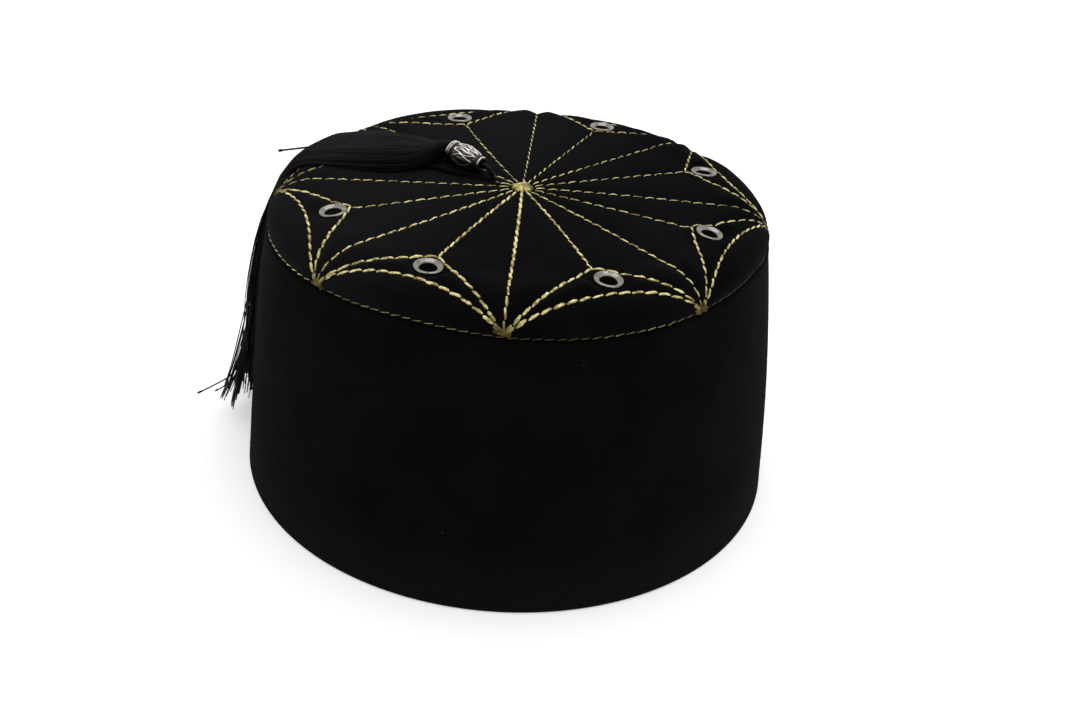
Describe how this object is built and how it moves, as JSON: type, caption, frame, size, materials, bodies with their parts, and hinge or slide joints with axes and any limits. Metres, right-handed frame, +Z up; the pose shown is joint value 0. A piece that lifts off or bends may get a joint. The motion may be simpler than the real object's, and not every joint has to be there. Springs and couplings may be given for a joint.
{
  "type": "fez",
  "caption": "Low tapered velvet hat with a quilted, star-stitched crown, vent eyelets, and a tassel on a silver bead that hangs over the side.",
  "frame": {"origin": "on the floor, at the middle of the rim that the hat rests on", "axes": "+Z up from the rim to the crown, -Y to the front, so the tassel hangs at -X"},
  "size_m": [0.1974, 0.189, 0.1127],
  "materials": {
    "velvet": "black cotton velvet with a short pile",
    "black_thread": "black rayon thread with a slight gloss",
    "gold_thread": "metallic gold sewing thread",
    "nickel": "dull nickel plate",
    "old_silver": "antiqued silver, dark in the hollows"
  },
  "bodies": {
    "root": {"side_band": "velvet", "crown_panel": "velvet", "eyelet_1": "nickel", "eyelet_2": "nickel", "eyelet_3": "nickel", "eyelet_4": "nickel", "eyelet_5": "nickel", "eyelet_6": "nickel", "eyelet_7": "nickel", "eyelet_8": "nickel", "tassel_bead": "old_silver", "tassel_cord": "black_thread", "tassel_strands": "black_thread"}
  },
  "joints": []
}
